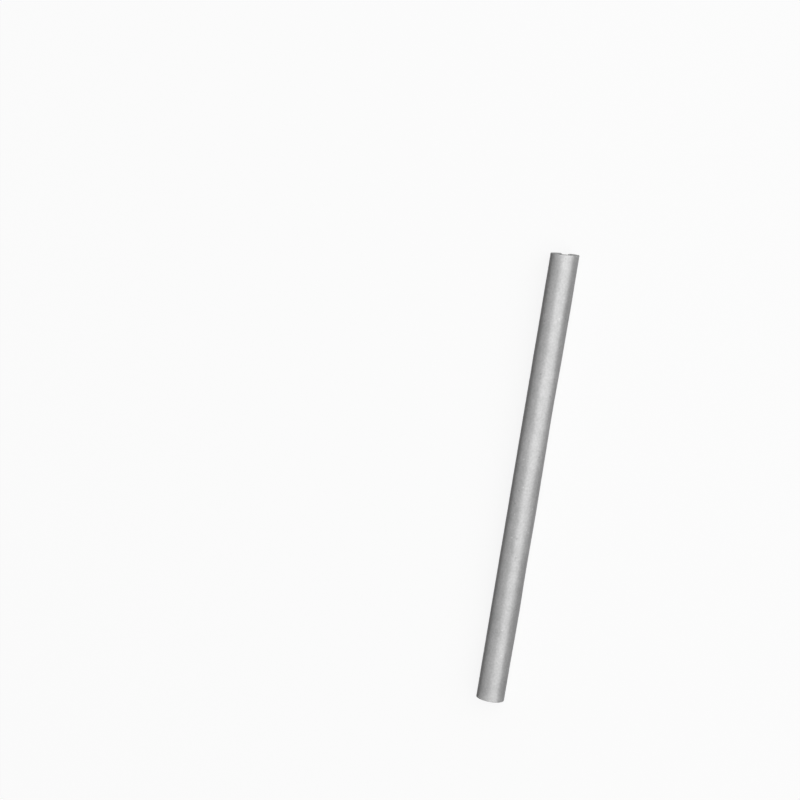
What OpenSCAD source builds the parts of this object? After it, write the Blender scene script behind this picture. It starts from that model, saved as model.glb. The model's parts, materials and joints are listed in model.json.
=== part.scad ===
// Clip-on spoke reflector: a slit sleeve that snaps sideways over a wheel spoke.
// It lies on its two lips: the bore runs along X, and the slit opens downwards, along -Z.

/* [Sleeve] */
// Length of the sleeve along the spoke
sleeve_len = 75; // [20:1:150]
// Outside diameter of the sleeve
sleeve_d = 4.6; // [4:0.1:8]

/* [Spoke grip] */
// Diameter of the round spoke that the sleeve is made for
spoke_d = 2; // [1.6:0.05:2.4]
// How much narrower than the spoke the bore is before the spoke springs it open
grip = 0.1; // [0:0.01:0.2]

/* [Slit] */
// Narrowest gap between the lips, which holds the spoke in
throat_gap = 1; // [0.6:0.05:1.2]
// Angle between the two faces of the slit, which widens outwards to lead the spoke in
lead_in_angle = 24; // [0:1:50]
// Radius of each lip's inner edge, where the spoke snaps past it
throat_r = 0.1; // [0.05:0.01:0.15]
// Radius of each lip's outer edge
lip_r = 0.25; // [0.15:0.05:0.45]

/* [Cut ends] */
// Width of the broken edge around the outside of each cut end
edge_break = 0.1; // [0.03:0.01:0.3]

/* [Hidden] */

$fn = 96;
// How far a cutter runs past the surface that it cuts
overrun = 1;
// How far a round stands proud of the surfaces that it blends, so that they cross and leave no sliver
proud = 0.002;

outer_r = sleeve_d / 2;
bore_r = (spoke_d - grip) / 2;

// Directions in the section, at the lip on the right: outwards along its face, and into its material
face_dir = [sin(lead_in_angle / 2), -cos(lead_in_angle / 2)];
into_lip = [cos(lead_in_angle / 2), sin(lead_in_angle / 2)];

// The inner edge's round meets the bore and sets the narrowest gap
throat_x = throat_gap / 2 + throat_r;
throat_reach = bore_r + throat_r - proud;
throat_centre = [throat_x, -sqrt(pow(throat_reach, 2) - pow(throat_x, 2))];

// The outer edge's round lies on the lip's face too and meets the outside of the sleeve
lip_reach = outer_r - lip_r + proud;
face_start = throat_centre + (lip_r - throat_r) * into_lip;
face_run = sqrt(pow(lip_reach, 2) - pow(face_start * into_lip, 2)) - face_start * face_dir;
lip_centre = face_start + face_run * face_dir;

// Section of everything between the two lips' rounds, from the bore out past the outside
module slit() {
    past_lip = (outer_r + overrun) / norm(lip_centre) * lip_centre;
    polygon([
        [0, 0],
        [-throat_centre.x, throat_centre.y],
        [-lip_centre.x, lip_centre.y],
        [-past_lip.x, past_lip.y],
        past_lip,
        lip_centre,
        throat_centre
    ]);
}

// Section of the right-hand lip's edge: its flat face between two rounds
module lip_edge() {
    polygon([
        throat_centre,
        throat_centre - (throat_r - proud) * into_lip,
        lip_centre - (lip_r - proud) * into_lip,
        lip_centre
    ]);
    translate(throat_centre) circle(throat_r);
    translate(lip_centre) circle(lip_r);
}

// Section across the sleeve, with the slit pointing down
module profile() {
    difference() {
        circle(outer_r);
        circle(bore_r);
        slit();
    }
    lip_edge();
    mirror([1, 0]) lip_edge();
}

// Ring that takes the sharp edge off one cut end
module end_bevel()
    rotate_extrude()
        polygon([
            [outer_r - edge_break - overrun, sleeve_len / 2 + overrun],
            [outer_r + overrun, sleeve_len / 2 - edge_break - overrun],
            [outer_r + overrun, sleeve_len / 2 + overrun]
        ]);

module reflector_sleeve()
    color([0.74, 0.74, 0.75])
        rotate([90, 0, 90])
            difference() {
                linear_extrude(sleeve_len, center = true) profile();
                end_bevel();
                mirror([0, 0, 1]) end_bevel();
            }

reflector_sleeve();
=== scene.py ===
"""Dresses a clip-on bicycle reflector: a slit plastic sleeve under a beaded, light grey reflective film.

The sleeve lies on its two lips, with its bore along X and its slit downwards. Its section is drawn once, and
a Geometry Nodes tree lays it along the sleeve, rounds both cut ends and ripples the film. Lengths are in
metres.
"""

from __future__ import annotations

import json
import logging
import math
from collections.abc import Mapping
from dataclasses import dataclass, field
from enum import Enum

import bmesh
import bpy
from mathutils import Matrix, Vector


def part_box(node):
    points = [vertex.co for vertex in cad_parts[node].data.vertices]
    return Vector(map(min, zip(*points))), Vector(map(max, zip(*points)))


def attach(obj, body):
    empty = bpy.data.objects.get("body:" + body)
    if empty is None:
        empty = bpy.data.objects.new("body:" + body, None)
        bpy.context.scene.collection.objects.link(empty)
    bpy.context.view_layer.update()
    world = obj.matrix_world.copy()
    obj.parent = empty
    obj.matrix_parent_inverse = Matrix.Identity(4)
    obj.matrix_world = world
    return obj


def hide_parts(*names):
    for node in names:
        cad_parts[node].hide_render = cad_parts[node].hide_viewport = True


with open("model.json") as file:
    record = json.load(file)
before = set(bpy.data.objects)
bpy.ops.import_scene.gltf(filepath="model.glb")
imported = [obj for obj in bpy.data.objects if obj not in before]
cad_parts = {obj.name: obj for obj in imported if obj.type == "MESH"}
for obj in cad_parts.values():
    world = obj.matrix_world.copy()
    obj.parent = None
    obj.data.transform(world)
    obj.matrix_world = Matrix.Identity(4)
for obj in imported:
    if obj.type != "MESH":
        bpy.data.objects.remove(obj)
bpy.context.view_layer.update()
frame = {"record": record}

MM = 0.001
NODE = "reflector_sleeve"
BODY = "root"
SAME_PLACE = 1e-5 * MM

log = logging.getLogger("reflector_sleeve")


def grey(level: float) -> tuple[float, float, float, float]:
    """A linear grey, from 0 for black to 1 for white."""
    return (level, level, level, 1.0)


WHITE = grey(1.0)


class Wire:
    """A number in a node tree, to which Python's operators add Math nodes."""

    def __init__(self, graph: Graph, socket: bpy.types.NodeSocket) -> None:
        """Holds the output socket that the number comes from, and its graph."""
        self.graph = graph
        self.socket = socket

    def __add__(self, other: Wire | float) -> Wire:
        """This number plus the other."""
        return self.graph.math("ADD", self, other)

    __radd__ = __add__

    def __sub__(self, other: Wire | float) -> Wire:
        """This number less the other."""
        return self.graph.math("SUBTRACT", self, other)

    def __rsub__(self, other: float) -> Wire:
        """The other number less this."""
        return self.graph.math("SUBTRACT", other, self)

    def __mul__(self, other: Wire | float) -> Wire:
        """This number times the other."""
        return self.graph.math("MULTIPLY", self, other)

    __rmul__ = __mul__

    def __truediv__(self, other: Wire | float) -> Wire:
        """This number divided by the other."""
        return self.graph.math("DIVIDE", self, other)

    def __rtruediv__(self, other: float) -> Wire:
        """The other number divided by this."""
        return self.graph.math("DIVIDE", other, self)

    def __pow__(self, power: float) -> Wire:
        """This number to a power."""
        return self.graph.math("POWER", self, power)

    def __abs__(self) -> Wire:
        """This number without its sign."""
        return self.graph.math("ABSOLUTE", self)

    def __lt__(self, other: Wire | float) -> Wire:
        """1 where this number is below the other, and 0 elsewhere."""
        return self.graph.math("LESS_THAN", self, other)

    def __gt__(self, other: Wire | float) -> Wire:
        """1 where this number is above the other, and 0 elsewhere."""
        return self.graph.math("GREATER_THAN", self, other)

    def at_least(self, low: float) -> Wire:
        """The larger of this number and a limit."""
        return self.graph.math("MAXIMUM", self, low)

    def at_most(self, high: float) -> Wire:
        """The smaller of this number and a limit."""
        return self.graph.math("MINIMUM", self, high)


class VectorWire(Wire):
    """A vector in a node tree, whose sums and scalings go through Vector Math."""

    def __add__(self, other: VectorWire) -> VectorWire:
        """This vector plus the other."""
        made = self.graph.node("ShaderNodeVectorMath", {"operation": "ADD"}, {0: self, 1: other})
        return self.graph.vector(made)

    def __mul__(self, times: Wire | float) -> VectorWire:
        """This vector, so many times as long."""
        made = self.graph.node("ShaderNodeVectorMath", {"operation": "SCALE"}, {0: self, "Scale": times})
        return self.graph.vector(made)

    __rmul__ = __mul__

    def parts(self) -> list[Wire]:
        """The vector's three parts."""
        made = self.graph.node("ShaderNodeSeparateXYZ", inputs={0: self})
        return [self.graph.wire(made, i) for i in range(3)]


@dataclass
class Graph:
    """Adds nodes to one shader or geometry tree.

    Args:
        tree: The node tree that the nodes go into.
    """

    tree: bpy.types.NodeTree

    @classmethod
    def emptied(cls, owner: bpy.types.Material | bpy.types.World) -> Graph:
        """Empties the nodes of a material or of the surround.

        Args:
            owner: The material or the surround.

        Returns:
            The graph that its new nodes go into.
        """
        owner.use_nodes = True
        owner.node_tree.nodes.clear()
        return cls(owner.node_tree)

    def node(
        self,
        kind: str,
        settings: Mapping[str, object] | None = None,
        inputs: Mapping[int | str, object] | None = None,
    ) -> bpy.types.Node:
        """Adds one node.

        Args:
            kind: Blender's name for the node's type.
            settings: The node's own properties, which are set first.
            inputs: Values, wires or output sockets for its sockets, by their place or name.

        Returns:
            The new node.
        """
        made = self.tree.nodes.new(kind)
        for name, value in (settings or {}).items():
            setattr(made, name, value)
        for key, value in (inputs or {}).items():
            self.feed(made.inputs[key], value)
        return made

    def feed(self, socket: bpy.types.NodeSocket, value: object) -> None:
        """Links a wire or an output to an input socket, or sets the socket's own value.

        Args:
            socket: The input socket.
            value: The wire, the output socket or the value.
        """
        if isinstance(value, Wire):
            self.tree.links.new(value.socket, socket)
        elif isinstance(value, bpy.types.NodeSocket):
            self.tree.links.new(value, socket)
        else:
            socket.default_value = value

    def wire(self, made: bpy.types.Node, output: int | str = 0) -> Wire:
        """One output of a node, as a number for expressions."""
        return Wire(self, made.outputs[output])

    def vector(self, made: bpy.types.Node, output: int | str = 0) -> VectorWire:
        """One output of a node, as a vector for expressions."""
        return VectorWire(self, made.outputs[output])

    def math(self, operation: str, *values: Wire | float) -> Wire:
        """The result of a Math node on one or two numbers."""
        made = self.node("ShaderNodeMath", {"operation": operation}, dict(enumerate(values)))
        return self.wire(made)

    def join(self, x: Wire | float, y: Wire | float, z: Wire | float) -> VectorWire:
        """A vector from its three parts."""
        return self.vector(self.node("ShaderNodeCombineXYZ", inputs={0: x, 1: y, 2: z}))

    def noise(self, where: VectorWire, size: Wire | float, detail: float = 1.0) -> Wire:
        """Smooth noise around 0.

        Args:
            where: The place at which it is read.
            size: How far apart its patches lie, in metres.
            detail: How many finer layers it has.

        Returns:
            A number from about -0.5 to 0.5.
        """
        made = self.node(
            "ShaderNodeTexNoise",
            {"noise_dimensions": "3D"},
            {"Vector": where, "Scale": 1 / size, "Detail": detail},
        )
        return self.wire(made) - 0.5


class Cover(Enum):
    """What covers a stretch of the sleeve's surface, by the number that its points carry."""

    PLASTIC = 0.0
    FILM = 1.0


class Shift(Enum):
    """How far each pattern is moved within its noise, in millimetres, so that no two of them line up."""

    FILM = (3, 11, 17)
    DIRT = (31, 7, 13)
    BALD = (12, 41, 23)
    WEAR_AND_HIGHLIGHT = (5, 8, 2)
    STREAKS = (0, 5, 9)
    BLADE_MARKS = (7, 2, 4)
    MOTTLE = (2, 0, 4)


@dataclass(frozen=True)
class Patches:
    """One layer of soft-edged patches in a finish.

    Args:
        size: How far apart they lie.
        share: How much they change the shade.
        detail: How many finer layers they have.
    """

    size: float
    share: float
    detail: float = 1.0

    def noise(self, graph: Graph, where: VectorWire) -> Wire:
        """The patches at a place, from about -0.5 to 0.5."""
        return graph.noise(where, self.size, self.detail)


@dataclass(frozen=True)
class Finish:
    """What both finishes of the sleeve share.

    Args:
        half_length: How far the cut ends are from the sleeve's middle.
    """

    half_length: float

    def own_place(self, graph: Graph) -> VectorWire:
        """Each point's place on the sleeve itself."""
        return graph.vector(graph.node("ShaderNodeTexCoord"), "Object")

    def place(
        self,
        graph: Graph,
        shift: Shift,
        stretch: tuple[float, float, float] = (1.0, 1.0, 1.0),
    ) -> VectorWire:
        """Where each point reads the noise of one pattern.

        Args:
            graph: The material's graph.
            shift: The pattern's own shift.
            stretch: How many times longer the pattern is along each axis.

        Returns:
            The place in the noise.
        """
        inputs = {
            "Vector": self.own_place(graph),
            "Location": [distance * MM for distance in shift.value],
            "Scale": [1 / times for times in stretch],
        }
        return graph.vector(graph.node("ShaderNodeMapping", inputs=inputs))

    def along(self, graph: Graph) -> Wire:
        """How far along the sleeve a point is from its middle, in metres."""
        return self.own_place(graph).parts()[0]

    def from_cut_end(self, graph: Graph) -> Wire:
        """How far a point is from the nearer cut end, in metres."""
        return self.half_length - abs(self.along(graph))

    def blend(self, graph: Graph, amount: Wire, low: float, high: float) -> Wire:
        """A grey between two others.

        Args:
            graph: The material's graph.
            amount: How far it is from the first to the second, from 0 to 1.
            low: The first grey.
            high: The second grey.

        Returns:
            The grey, as a colour.
        """
        # A Mix node's sockets for colours come after those for numbers and vectors
        mix = graph.node("ShaderNodeMix", {"data_type": "RGBA"}, {0: amount, 6: grey(low), 7: grey(high)})
        return graph.wire(mix, 2)

    def bump(self, graph: Graph, height: Wire, depth: float) -> Wire:
        """A surface direction from heights.

        Args:
            graph: The material's graph.
            height: The height, where 1 is the whole depth.
            depth: What a height of 1 comes to, in metres.

        Returns:
            The direction, for a shader's Normal.
        """
        return graph.wire(graph.node("ShaderNodeBump", inputs={"Distance": depth, "Height": height}))

    def show(self, graph: Graph, shader: bpy.types.Node) -> None:
        """Sends a shader to the material's output."""
        graph.node("ShaderNodeOutputMaterial", inputs={"Surface": shader.outputs[0]})


@dataclass(frozen=True)
class BeadedFilm(Finish):
    """Retroreflective film: fine glass beads over a bright metallic layer.

    By day it is a soft light grey. It brightens where it faces the light, and its metallic shine fades where
    it turns away, because the beads hide the layer under them there.

    Args:
        dark: Its darkest grey.
        light: Its lightest grey.
        shine: How metallic it is where it is seen straight on.
        shine_fade: How fast that falls off as the film turns away.
        roughness: How matt it is.
        gloss: Reflection of the clear top coat, where 0.5 is plain plastic.
        bead: Size of the smallest bumps.
        bead_depth: How deep they are.
        mid_shade: Its shade where nothing marks it, from 0 for its darkest grey to 1 for its lightest.
        speckle: The fine light and dark grains.
        blotch: The handling marks.
        cloud: The broad lighter and darker stretches.
        painted_shade_drift: Painted shade that darkens its colour from the cut at +X to the one at -X.
        speck_spacing: How far apart single specks lie.
        speck_size: A speck's radius, as a share of that spacing.
        bald: How much lighter a bald spot's shade is.
        dirt: How much darker a speck of dirt's shade is.
        wear_and_highlight_reach: How far wear, and the painted highlight that goes with it, reach from a cut
            end.
        wear_and_highlight_middle: How strong they are right at a cut, between the patches.
        wear_and_highlight_patches: The stronger and the weaker patches there, whose share is that of the
            wear.
        wear_and_highlight_shade: How much lighter they make its colour, as worn film and as a painted
            highlight.
        worn_beads: How much of the beads' relief wear takes off.
        worn_roughness: How much rougher wear makes it.
        speckle_roughness: How much rougher its light grains are than its dark ones.
    """

    dark: float = 0.31
    light: float = 0.63
    shine: float = 0.76
    shine_fade: float = 1.42
    roughness: float = 0.4
    gloss: float = 0.13
    bead: float = 0.11 * MM
    bead_depth: float = 0.014 * MM
    mid_shade: float = 0.55
    speckle: Patches = Patches(0.35 * MM, 0.6)
    blotch: Patches = Patches(2.1 * MM, 0.36, detail=2.0)
    cloud: Patches = Patches(11 * MM, 0.3)
    painted_shade_drift: float = 0.1
    speck_spacing: float = 1.8 * MM
    speck_size: float = 0.085
    bald: float = 0.3
    dirt: float = 0.28
    wear_and_highlight_reach: float = 1.3 * MM
    wear_and_highlight_middle: float = 0.5
    wear_and_highlight_patches: Patches = Patches(0.8 * MM, 1.5, detail=2.0)
    wear_and_highlight_shade: float = 0.45
    worn_beads: float = 0.6
    worn_roughness: float = 0.2
    speckle_roughness: float = 0.12

    def specks(self, graph: Graph, shift: Shift) -> Wire:
        """Sparse tiny specks, such as dirt, or a bald spot among the beads.

        Args:
            graph: The material's graph.
            shift: The shift of the specks' pattern.

        Returns:
            1 on a speck and 0 between them.
        """
        cells = graph.node(
            "ShaderNodeTexVoronoi",
            {"feature": "F1", "voronoi_dimensions": "3D"},
            {"Vector": self.place(graph, shift), "Scale": 1 / self.speck_spacing},
        )
        return graph.wire(cells, "Distance") < self.speck_size

    def wear_and_highlight(self, graph: Graph) -> Wire:
        """Patchy wear beside the cut ends, which in the colour is also a painted highlight, from 0 for none
        to about 1.
        """
        noise = self.wear_and_highlight_patches.noise(graph, self.place(graph, Shift.WEAR_AND_HIGHLIGHT))
        patches = self.wear_and_highlight_middle + self.wear_and_highlight_patches.share * noise
        near_end = (1 - self.from_cut_end(graph) / self.wear_and_highlight_reach).at_least(0.0)
        return near_end * patches.at_least(0.0)

    def material(self) -> bpy.types.Material:
        """Builds the film's material.

        Returns:
            The material.
        """
        material = bpy.data.materials.new("beaded_film")
        graph = Graph.emptied(material)
        where = self.place(graph, Shift.FILM)
        speckle = self.speckle.noise(graph, where)
        blotch = self.blotch.share * self.blotch.noise(graph, where)
        cloud = self.cloud.share * self.cloud.noise(graph, where)
        dirt = self.dirt * self.specks(graph, Shift.DIRT)
        bald = self.bald * self.specks(graph, Shift.BALD)
        wear_and_highlight = self.wear_and_highlight(graph)
        # Painted shade: the colour darkens steadily from the cut at +X to the one at -X, as if the light
        # fell off along the sleeve
        painted_shade = self.painted_shade_drift * (0.5 - 0.5 * self.along(graph) / self.half_length)
        marks = self.speckle.share * speckle + blotch + cloud - painted_shade
        # Beside the cut ends the colour lightens, partly for worn film and partly as a painted highlight
        # there
        shade = self.mid_shade + marks + bald - dirt + self.wear_and_highlight_shade * wear_and_highlight
        turned_away = graph.wire(graph.node("ShaderNodeLayerWeight"), "Facing")
        shine = (self.shine - self.shine_fade * turned_away).at_least(0.0)
        beads = graph.noise(where, self.bead) + speckle - self.worn_beads * wear_and_highlight
        roughness = self.roughness + self.speckle_roughness * speckle + self.worn_roughness * wear_and_highlight
        shader = graph.node(
            "ShaderNodeBsdfPrincipled",
            inputs={
                "Base Color": self.blend(graph, shade, self.dark, self.light),
                "Metallic": shine,
                "Roughness": roughness,
                "Specular IOR Level": self.gloss,
                "Normal": self.bump(graph, beads, self.bead_depth),
            },
        )
        self.show(graph, shader)
        return material


@dataclass(frozen=True)
class BarePlastic(Finish):
    """The sleeve's own plastic, seen in its bore, in its slit, on its lips and on its cut ends.

    Args:
        dark: Its darkest grey.
        light: Its lightest grey.
        roughness: How matt it is.
        streak: Width of the fine streaks that the die leaves along the sleeve.
        streak_length: How many times longer than wide they are.
        blade_mark: Width of the marks that the cutting blade leaves on the ends.
        blade_mark_length: How many times longer than wide those are.
        mark_detail: How many finer layers the streaks and marks have.
        mark_depth: How deep they are.
        mark_share: How much they change its shade.
        mark_roughness: How much rougher their light parts are than their dark ones.
        mid_shade: Its shade where nothing marks it, from 0 for its darkest grey to 1 for its lightest.
        mottle: The cloudy patches in its colour.
        cut: How near a cut end its marks take over.
    """

    dark: float = 0.46
    light: float = 0.74
    roughness: float = 0.55
    streak: float = 0.16 * MM
    streak_length: float = 60.0
    blade_mark: float = 0.14 * MM
    blade_mark_length: float = 14.0
    mark_detail: float = 3.0
    mark_depth: float = 0.018 * MM
    mark_share: float = 0.85
    mark_roughness: float = 0.2
    mid_shade: float = 0.5
    mottle: Patches = Patches(1.2 * MM, 0.5, detail=2.0)
    cut: float = 0.05 * MM

    def material(self) -> bpy.types.Material:
        """Builds the plastic's material.

        Returns:
            The material.
        """
        material = bpy.data.materials.new("bare_plastic")
        graph = Graph.emptied(material)
        along = self.place(graph, Shift.STREAKS, stretch=(self.streak_length, 1.0, 1.0))
        down = self.place(graph, Shift.BLADE_MARKS, stretch=(1.0, 1.0, self.blade_mark_length))
        streaks = graph.noise(along, self.streak, self.mark_detail)
        blade_marks = graph.noise(down, self.blade_mark, self.mark_detail)
        mottle = self.mottle.noise(graph, self.place(graph, Shift.MOTTLE))
        on_end = self.from_cut_end(graph) < self.cut
        marks = streaks * (1 - on_end) + blade_marks * on_end
        shade = self.mid_shade + self.mark_share * marks + self.mottle.share * mottle
        shader = graph.node(
            "ShaderNodeBsdfPrincipled",
            inputs={
                "Base Color": self.blend(graph, shade, self.dark, self.light),
                "Roughness": self.roughness + self.mark_roughness * marks,
                "Normal": self.bump(graph, marks, self.mark_depth),
            },
        )
        self.show(graph, shader)
        return material


@dataclass(frozen=True)
class SectionPoint:
    """One point of the sleeve's outline.

    Args:
        place: Where it is, as (y, z).
        outwards: The direction out of the material there.
        cover: What covers the surface there.
    """

    place: Vector
    outwards: Vector
    cover: Cover


@dataclass(frozen=True)
class Arc:
    """One round stretch of the sleeve's outline, in the plane across the bore.

    Args:
        centre: The arc's centre, as (y, z).
        radius: Its radius.
        start: The angle where it starts, in radians from +Y towards +Z.
        sweep: The angle that it turns through, below 0 where it goes round a hollow.
        cover: What covers it.
    """

    centre: Vector
    radius: float
    start: float
    sweep: float
    cover: Cover = Cover.PLASTIC

    def points(self, spacing: float, fewest: int) -> list[SectionPoint]:
        """Points along the arc.

        Args:
            spacing: About how far apart they lie.
            fewest: The fewest steps that a small arc gets.

        Returns:
            The points, from the arc's start to its end.
        """
        steps = max(fewest, math.ceil(abs(self.sweep) * self.radius / spacing))
        side = math.copysign(1, self.sweep)
        made = []
        for step in range(steps + 1):
            angle = self.start + self.sweep * step / steps
            ray = Vector((math.cos(angle), math.sin(angle)))
            made.append(SectionPoint(self.centre + self.radius * ray, side * ray, self.cover))
        return made


@dataclass
class SleeveSection:
    """The section across the sleeve: a thick ring, open at the bottom between two rounded lips.

    The film lies on the outside, and ends in a small step just above each lip.

    Args:
        outer_r: Radius of the plastic's outside.
        bore_r: Radius of the bore at rest.
        film: Thickness of the film.
        film_margin: Angle of bare plastic between the film's edge and the lip's round.
        throat_gap: Narrowest gap between the lips.
        lead_in: Half the angle between the slit's two faces.
        throat_r: Radius of each lip's inner edge.
        lip_r: Radius of each lip's outer edge.
        spacing: About how far apart the outline's points lie.
        fewest: The fewest steps in the small rounds.
        throat_centre: Centre of the right-hand lip's inner round, which is worked out.
        lip_centre: Centre of its outer round, which is worked out.
    """

    outer_r: float
    bore_r: float
    film: float = 0.04 * MM
    film_margin: float = math.radians(4)
    throat_gap: float = 1.0 * MM
    lead_in: float = math.radians(12)
    throat_r: float = 0.1 * MM
    lip_r: float = 0.25 * MM
    spacing: float = 0.13 * MM
    fewest: int = 6
    throat_centre: Vector = field(init=False)
    lip_centre: Vector = field(init=False)

    def __post_init__(self) -> None:
        """Works out the centres of the right-hand lip's two rounds."""
        along_face = Vector((math.sin(self.lead_in), -math.cos(self.lead_in)))
        into_lip = Vector((math.cos(self.lead_in), math.sin(self.lead_in)))
        throat_y = self.throat_gap / 2 + self.throat_r
        throat_reach = self.bore_r + self.throat_r
        self.throat_centre = Vector((throat_y, -math.sqrt(throat_reach**2 - throat_y**2)))
        start = self.throat_centre + (self.lip_r - self.throat_r) * into_lip
        lip_reach = self.outer_r - self.lip_r
        run = math.sqrt(lip_reach**2 - start.dot(into_lip) ** 2) - start.dot(along_face)
        self.lip_centre = start + run * along_face

    def arcs(self) -> list[Arc]:
        """The outline's arcs, which straight stretches join: the slit's faces and the film's edges.

        Returns:
            The arcs, anticlockwise round the material from the right-hand lip.
        """
        middle = Vector((0.0, 0.0))
        lip_left = Vector((-self.lip_centre.x, self.lip_centre.y))
        throat_left = Vector((-self.throat_centre.x, self.throat_centre.y))
        lip = math.atan2(self.lip_centre.y, self.lip_centre.x)
        throat = math.atan2(self.throat_centre.y, self.throat_centre.x)
        face = math.pi + self.lead_in
        film_start = lip + self.film_margin
        lip_sweep = lip + 2 * math.pi - face
        throat_sweep = face - (throat + math.pi)
        return [
            Arc(middle, self.outer_r, lip, self.film_margin),
            Arc(middle, self.outer_r + self.film, film_start, math.pi - 2 * film_start, Cover.FILM),
            Arc(middle, self.outer_r, math.pi - film_start, self.film_margin),
            Arc(lip_left, self.lip_r, math.pi - lip, lip_sweep),
            Arc(throat_left, self.throat_r, -self.lead_in, throat_sweep),
            Arc(middle, self.bore_r, math.pi - throat, 2 * throat - math.pi),
            Arc(self.throat_centre, self.throat_r, throat + math.pi, throat_sweep),
            Arc(self.lip_centre, self.lip_r, face, lip_sweep),
        ]

    def mesh(self) -> bpy.types.Mesh:
        """The closed outline as a mesh of edges, with the attributes that the sweep reads.

        Returns:
            A mesh whose points lie at (0, y, z), with an "outwards" direction and a "cover" number on each.
        """
        found = [point for arc in self.arcs() for point in arc.points(self.spacing, self.fewest)]
        kept = [
            point
            for point, before in zip(found, found[-1:] + found[:-1])
            if (point.place - before.place).length > SAME_PLACE
        ]
        edges = [(i, (i + 1) % len(kept)) for i in range(len(kept))]
        mesh = bpy.data.meshes.new("sleeve_section")
        mesh.from_pydata([(0.0, *point.place) for point in kept], edges, [])
        mesh.attributes.new("outwards", "FLOAT_VECTOR", "POINT")
        mesh.attributes.new("cover", "FLOAT", "POINT")
        directions = [part for point in kept for part in (0.0, *point.outwards)]
        mesh.attributes["outwards"].data.foreach_set("vector", directions)
        mesh.attributes["cover"].data.foreach_set("value", [point.cover.value for point in kept])
        return mesh


@dataclass
class SleeveSweep:
    """The Geometry Nodes tree that lays the section along the sleeve.

    Rings crowd towards the cut ends, where each is drawn in to round the edge. The film ripples slightly all
    round, as it does on a soft profile, and has a longer, slacker wave on its -Y side.

    Args:
        name: The tree's name.
        slant_fade: How quickly the slant of the cut at +X dies away along the sleeve.
        seed_step: How far along the noise one seed is from the next.
        last_station: The station past which a point is on a cut end.
        cover_slack: How far the number of a point's cover may be off.
        graph: The graph that the tree's nodes go into.
        given: The node that the tree's inputs come from.
        inputs: The identifier of each input, by its name.
    """

    name: str = "sleeve_sweep"
    slant_fade: float = 12.0
    seed_step: float = 0.1
    last_station: float = 0.999
    cover_slack: float = 0.01
    graph: Graph = field(init=False)
    given: bpy.types.Node = field(init=False)
    inputs: dict[str, str] = field(init=False, default_factory=dict)

    def __post_init__(self) -> None:
        """Makes the tree with its named inputs."""
        tree = bpy.data.node_groups.new(self.name, "GeometryNodeTree")
        tree.interface.new_socket("Geometry", in_out="OUTPUT", socket_type="NodeSocketGeometry")
        waves = [f"{wave} {size}" for wave in ("Ripple", "Slack") for size in ("Height", "Size", "Stretch")]
        kinds = {
            "Geometry": ["Section"],
            "Float": ["Half Length", "Edge Radius", "Cut Slant", "Film Thickness", *waves],
            "Int": ["Rings", "Seed"],
            "Material": ["Film", "Plastic"],
        }
        for kind, names in kinds.items():
            for name in names:
                made = tree.interface.new_socket(name, in_out="INPUT", socket_type=f"NodeSocket{kind}")
                self.inputs[name] = made.identifier
        self.graph = Graph(tree)
        self.given = self.graph.node("NodeGroupInput")

    def number(self, name: str) -> Wire:
        """One of the tree's inputs, as a number for expressions."""
        return self.graph.wire(self.given, name)

    def keep(self, geometry: bpy.types.NodeSocket, values: Mapping[str, Wire]) -> bpy.types.Node:
        """Keeps values on a geometry's points, so that they last through the sweep.

        Args:
            geometry: The socket that the geometry comes from.
            values: The numbers and vectors, by the name that each is kept under.

        Returns:
            A node that gives the geometry, and each value by its name.
        """
        settings = {"domain": "POINT"}
        made = self.graph.node("GeometryNodeCaptureAttribute", settings, {"Geometry": geometry})
        for name, value in values.items():
            made.capture_items.new("VECTOR" if isinstance(value, VectorWire) else "FLOAT", name)
            self.graph.feed(made.inputs[name], value)
        return made

    def kept_section(self) -> bpy.types.Node:
        """The section as a curve, with its points' places, outward directions and covers kept.

        Returns:
            A node that gives the curve, and "place", "outwards" and "cover".
        """
        graph = self.graph
        outline = graph.node("GeometryNodeMeshToCurve", inputs={0: self.given.outputs["Section"]})
        named = "GeometryNodeInputNamedAttribute"
        outwards = graph.node(named, {"data_type": "FLOAT_VECTOR"}, {"Name": "outwards"})
        cover = graph.node(named, {"data_type": "FLOAT"}, {"Name": "cover"})
        values = {
            "place": graph.vector(graph.node("GeometryNodeInputPosition")),
            "outwards": graph.vector(outwards),
            "cover": graph.wire(cover),
        }
        return self.keep(outline.outputs[0], values)

    def kept_path(self) -> bpy.types.Node:
        """A path that only counts the rings, with each ring's station kept.

        Returns:
            A node that gives the path, and "station", from -1 at one end to 1 at the other.
        """
        line = self.graph.node(
            "GeometryNodeCurvePrimitiveLine",
            {"mode": "POINTS"},
            {"Start": (-1, 0, 0), "End": (1, 0, 0)},
        )
        rings = self.graph.node(
            "GeometryNodeResampleCurve",
            {"mode": "COUNT"},
            {"Curve": line.outputs[0], "Count": self.given.outputs["Rings"]},
        )
        station = self.graph.vector(self.graph.node("GeometryNodeInputPosition")).parts()[0]
        return self.keep(rings.outputs[0], {"station": station})

    def drawn_in(self, x: Wire) -> Wire:
        """How far a ring is drawn in to round the cut edge.

        Args:
            x: Where the ring is along the sleeve.

        Returns:
            The distance inwards, which is 0 away from the cut ends.
        """
        edge = self.number("Edge Radius")
        past_edge = (edge - (self.number("Half Length") - abs(x))).at_least(0.0)
        return edge - (edge * edge - past_edge * past_edge).at_least(0.0) ** 0.5

    def wave(self, name: str, place: VectorWire, x: Wire) -> Wire:
        """How far one kind of wave moves the film.

        Args:
            name: The wave's name in the inputs.
            place: A point's place in the section.
            x: Where its ring is along the sleeve.

        Returns:
            The distance outwards.
        """
        _, y, z = place.parts()
        pattern_start = self.seed_step * self.number("Seed")
        along = x / self.number(f"{name} Stretch") + pattern_start
        noise = self.graph.noise(self.graph.join(along, y, z), self.number(f"{name} Size"))
        # The noise reaches 0.5 either way, so twice the noise reaches the height
        return self.number(f"{name} Height") * 2 * noise

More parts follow.
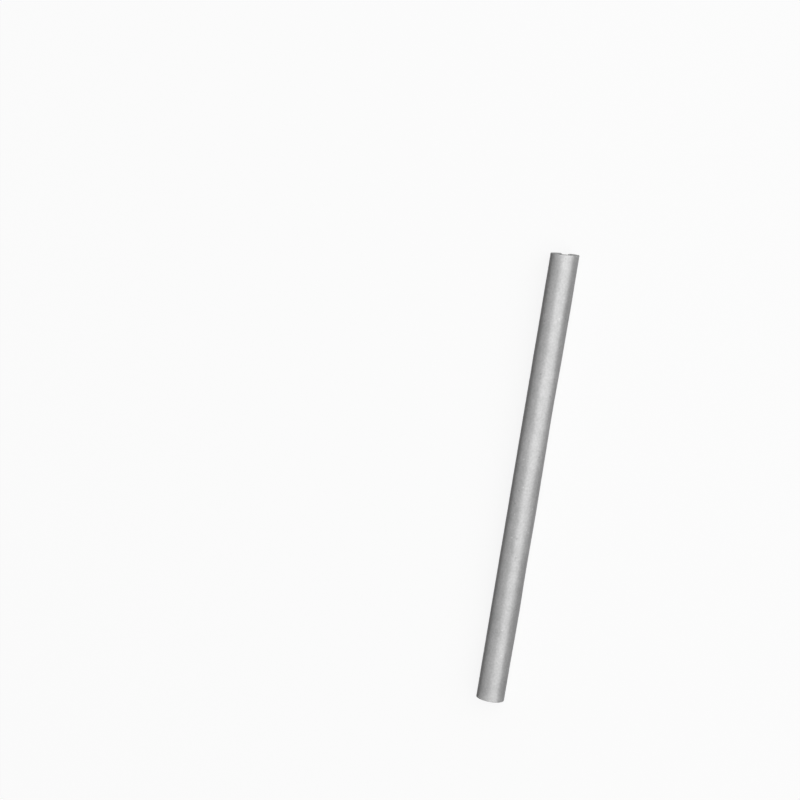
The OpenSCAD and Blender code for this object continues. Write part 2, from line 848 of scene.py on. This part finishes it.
    def laid(self, section: bpy.types.Node, x: Wire, drawn_in: Wire) -> VectorWire:
        """Where the section's points go on their ring, with the cut at +X a little out of square.

        Args:
            section: The node that gives what the section's points keep.
            x: Where the ring is along the sleeve.
            drawn_in: How far the ring is drawn in.

        Returns:
            Each point's place on the sleeve.
        """
        place = self.graph.vector(section, "place")
        outwards = self.graph.vector(section, "outwards")
        slack_side = (-1 * outwards.parts()[1]).at_least(0.0)
        waves = self.wave("Ripple", place, x) + self.wave("Slack", place, x) * slack_side
        moved_out = waves * self.graph.wire(section, "cover") - drawn_in
        near_cut = (x / self.number("Half Length")).at_least(0.0) ** self.slant_fade
        slanted = x - self.number("Cut Slant") * place.parts()[1] * near_cut
        return place + outwards * moved_out + self.graph.join(slanted, 0.0, 0.0)

    def dressed(self, bare: bpy.types.Node, cover: Wire, station: Wire, drawn_in: Wire) -> bpy.types.Node:
        """Gives the mesh its shading and finishes.

        The cut ends and the film's edges stay crisp, and the rounded edge cuts through the film.

        Args:
            bare: The node that gives the mesh.
            cover: What covers each point.
            station: The station of each point's ring.
            drawn_in: How far that ring is drawn in.

        Returns:
            The node that gives the finished mesh.
        """
        graph = self.graph
        beside_end = abs(station) < self.last_station
        # Only the film's edge, a step, has a cover between the plastic's number and the film's
        off_step = abs(cover - 0.5) > 0.5 - self.cover_slack
        smooth = graph.node(
            "GeometryNodeSetShadeSmooth",
            inputs={"Geometry": bare.outputs[0], "Shade Smooth": beside_end * off_step},
        )
        whole = graph.node("GeometryNodeRealizeInstances", inputs={0: smooth.outputs[0]})
        plain = graph.node(
            "GeometryNodeSetMaterial",
            inputs={0: whole.outputs[0], "Material": self.given.outputs["Plastic"]},
        )
        in_film = drawn_in < self.number("Film Thickness")
        return graph.node(
            "GeometryNodeSetMaterial",
            inputs={
                0: plain.outputs[0],
                "Selection": (cover > self.cover_slack) * beside_end * in_film,
                "Material": self.given.outputs["Film"],
            },
        )

    def build(self) -> bpy.types.NodeTree:
        """Builds the tree.

        Returns:
            The tree.
        """
        graph = self.graph
        section = self.kept_section()
        path = self.kept_path()
        swept = graph.node(
            "GeometryNodeCurveToMesh",
            inputs={"Curve": path.outputs[0], "Profile Curve": section.outputs[0], "Fill Caps": True},
        )
        station = graph.wire(path, "station")
        x = self.number("Half Length") * graph.math("SINE", station * (math.pi / 2))
        drawn_in = self.drawn_in(x)
        placed = graph.node(
            "GeometryNodeSetPosition",
            inputs={"Geometry": swept.outputs[0], "Position": self.laid(section, x, drawn_in)},
        )
        dressed = self.dressed(placed, graph.wire(section, "cover"), station, drawn_in)
        graph.node("NodeGroupOutput", inputs={0: dressed.outputs[0]})
        return graph.tree


@dataclass(frozen=True)
class Wave:
    """One kind of wave in the film.

    Args:
        height: The furthest that it moves the film either way.
        size: How far apart its crests lie round the sleeve.
        stretch: How many times further apart they lie along it.
    """

    height: float
    size: float
    stretch: float

    def inputs(self, name: str) -> dict[str, float]:
        """The sweep's inputs for this wave, by their names."""
        return {f"{name} Height": self.height, f"{name} Size": self.size, f"{name} Stretch": self.stretch}


@dataclass
class ReflectorSleeve:
    """The whole reflector, which is one slit sleeve.

    Args:
        rings: How many sections are laid along it.
        edge_radius: Radius of the rounded edge all round each cut end.
        cut_slant: How far out of square the cut at +X is.
        ripple: The film's ripple all round.
        slack: Its slacker wave on the -Y side.
        seed: Picks the waves' pattern.
    """

    rings: int = 361
    edge_radius: float = 0.08 * MM
    cut_slant: float = math.radians(3.6)
    ripple: Wave = Wave(0.03 * MM, 2.5 * MM, 3.0)
    slack: Wave = Wave(0.18 * MM, 1.8 * MM, 11.0)
    seed: int = 111

    def build(self) -> bpy.types.Object:
        """Sweeps the section over the sleeve's own place and dresses it.

        Returns:
            The finished piece.
        """
        _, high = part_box(NODE)
        bore = frame["record"]["mounts"][0]
        section = SleeveSection(outer_r=high.z, bore_r=bore["dims"]["r_mm"] * MM)
        piece = bpy.data.objects.new("beaded_sleeve", section.mesh())
        bpy.context.collection.objects.link(piece)
        sweep = SleeveSweep()
        modifier = piece.modifiers.new(sweep.name, "NODES")
        modifier.node_group = sweep.build()
        values = {
            "Half Length": high.x,
            "Edge Radius": self.edge_radius,
            "Cut Slant": math.tan(self.cut_slant),
            "Film Thickness": section.film,
            "Rings": self.rings,
            "Seed": self.seed,
            "Film": BeadedFilm(high.x).material(),
            "Plastic": BarePlastic(high.x).material(),
            **self.ripple.inputs("Ripple"),
            **self.slack.inputs("Slack"),
        }
        for name, value in values.items():
            modifier[sweep.inputs[name]] = value
        self.settle(piece)
        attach(piece, BODY)
        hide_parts(NODE)
        return piece

    def settle(self, piece: bpy.types.Object) -> None:
        """Turns the modifier's result into the piece's own closed mesh, with its faces outwards.

        Args:
            piece: The piece with its modifier.
        """
        graph = bpy.context.evaluated_depsgraph_get()
        mesh = bpy.data.meshes.new_from_object(piece.evaluated_get(graph))
        piece.modifiers.clear()
        piece.data = mesh
        shell = bmesh.new()
        shell.from_mesh(mesh)
        bmesh.ops.recalc_face_normals(shell, faces=shell.faces)
        shell.to_mesh(mesh)
        shell.free()


@dataclass
class Studio:
    """A plain pale floor, one broad soft light above, and the camera at the photograph's angle.

    Args:
        floor_z: Height of the floor, which the lips stand on.
        floor_reach: How far the floor goes each way.
        floor_bounce: The grey that the floor is to the light.
        floor_glow: How much of its white the floor has in shadow, where the camera sees it.
        floor_lit: The grey that it adds to that in the light.
        ambient: How bright the surround is to the light.
        key_level: How bright a small lamp of the key's power makes a white surface.
        key_stand: The way to the key lamp.
        key_distance: How far off it stands.
        key_width: Its diameter.
        camera_place: Where the camera is.
        camera_aim: The point in the middle of its picture.
        camera_nearest: The nearest that it sees.
        picture_up: The way on the floor that is up in its picture, from +X towards +Y.
        field_of_view: The angle that its picture takes in.
    """

    floor_z: float
    floor_reach: float = 3.0
    floor_bounce: float = 0.1
    floor_glow: float = 0.862
    floor_lit: float = 0.2
    ambient: float = 0.11
    key_level: float = 0.965
    key_stand: Vector = Vector((0.22, -0.425, 0.878))
    key_distance: float = 0.8
    key_width: float = 1.64
    camera_place: Vector = Vector((57.7, 0.0, 340.4)) * MM
    camera_aim: Vector = Vector((9.5, 22.7, 0.0)) * MM
    camera_nearest: float = 10 * MM
    picture_up: float = math.radians(9.0)
    field_of_view: float = math.radians(21.6)

    def seen(self, graph: Graph) -> Wire:
        """Tells what the camera sees from what lights the sleeve.

        Args:
            graph: The graph of the floor or the surround.

        Returns:
            1 for what is seen straight, mirrored or through glass, and 0 for light.
        """
        path = graph.node("ShaderNodeLightPath")
        rays = ("Is Camera Ray", "Is Glossy Ray", "Is Transmission Ray")
        straight, mirrored, through = [graph.wire(path, ray) for ray in rays]
        return (straight + mirrored + through).at_most(1.0)

    def floor(self) -> bpy.types.Object:
        """A large flat floor that looks white but throws little light back, and keeps shadows.

        Returns:
            The floor.
        """
        reach = self.floor_reach
        mesh = bpy.data.meshes.new("floor")
        corners = [(-reach, -reach), (reach, -reach), (reach, reach), (-reach, reach)]
        mesh.from_pydata([(x, y, self.floor_z) for x, y in corners], [], [(0, 1, 2, 3)])
        mesh.materials.append(self.floor_material())
        floor = bpy.data.objects.new("floor", mesh)
        bpy.context.collection.objects.link(floor)
        return floor

    def floor_material(self) -> bpy.types.Material:
        """The floor's paint, which is white where it is seen and dull where it lights the sleeve.

        Returns:
            The material.
        """
        material = bpy.data.materials.new("pale_floor")
        graph = Graph.emptied(material)
        dull = graph.node("ShaderNodeBsdfDiffuse", inputs={"Color": grey(self.floor_bounce)})
        lit = graph.node("ShaderNodeBsdfDiffuse", inputs={"Color": grey(self.floor_lit)})
        glow = graph.node("ShaderNodeEmission", inputs={"Color": WHITE, "Strength": self.floor_glow})
        white = graph.node("ShaderNodeAddShader", inputs={0: lit.outputs[0], 1: glow.outputs[0]})
        shown = graph.node(
            "ShaderNodeMixShader",
            inputs={0: self.seen(graph), 1: dull.outputs[0], 2: white.outputs[0]},
        )
        graph.node("ShaderNodeOutputMaterial", inputs={"Surface": shown.outputs[0]})
        return material

    def surround(self) -> bpy.types.World:
        """A white surround that gives only a little light.

        Returns:
            The surround.
        """
        world = bpy.data.worlds.new("surround")
        graph = Graph.emptied(world)
        strength = self.ambient + (1 - self.ambient) * self.seen(graph)
        background = graph.node("ShaderNodeBackground", inputs={"Color": WHITE, "Strength": strength})
        graph.node("ShaderNodeOutputWorld", inputs={"Surface": background.outputs[0]})
        bpy.context.scene.world = world
        return world

    def key(self) -> bpy.types.Object:
        """The key lamp: a broad round softbox above, leaning to the right of the picture.

        Returns:
            The lamp.
        """
        lamp = bpy.data.lights.new("key", "AREA")
        lamp.shape = "DISK"
        lamp.size = self.key_width
        # A small lamp of power P makes a white surface at a distance d as bright as P / (pi * d)**2
        lamp.energy = self.key_level * (math.pi * self.key_distance) ** 2
        key = bpy.data.objects.new("key", lamp)
        key.location = self.key_stand.normalized() * self.key_distance
        key.rotation_euler = self.key_stand.to_track_quat("Z", "Y").to_euler()
        key.visible_camera = False
        bpy.context.collection.objects.link(key)
        return key

    def camera(self) -> bpy.types.Object:
        """The camera, looking down on the sleeve as the photograph does.

        Returns:
            The camera.
        """
        data = bpy.data.cameras.new("camera")
        data.angle = self.field_of_view
        data.clip_start = self.camera_nearest
        ahead = (self.camera_aim - self.camera_place).normalized()
        top = Vector((math.cos(self.picture_up), math.sin(self.picture_up), 0.0))
        right = ahead.cross(top).normalized()
        up = right.cross(ahead)
        turn = Matrix((right, up, -ahead)).transposed().to_4x4()
        camera = bpy.data.objects.new("camera", data)
        camera.matrix_world = Matrix.Translation(self.camera_place) @ turn
        bpy.context.collection.objects.link(camera)
        bpy.context.scene.camera = camera
        return camera

    def build(self) -> None:
        """Builds the whole studio."""
        bpy.context.scene.view_settings.view_transform = "Standard"
        for made in (self.floor(), self.surround(), self.key(), self.camera()):
            log.info("studio: %s", made.name)


def main() -> None:
    """Builds the studio and the sleeve."""
    logging.basicConfig(level=logging.INFO, format="%(name)s: %(message)s")
    low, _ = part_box(NODE)
    Studio(floor_z=low.z).build()
    piece = ReflectorSleeve().build()
    finishes = ", ".join(material.name for material in piece.data.materials)
    log.info("piece: %s, %d faces, in %s", piece.name, len(piece.data.polygons), finishes)


if __name__ == "__main__":
    main()
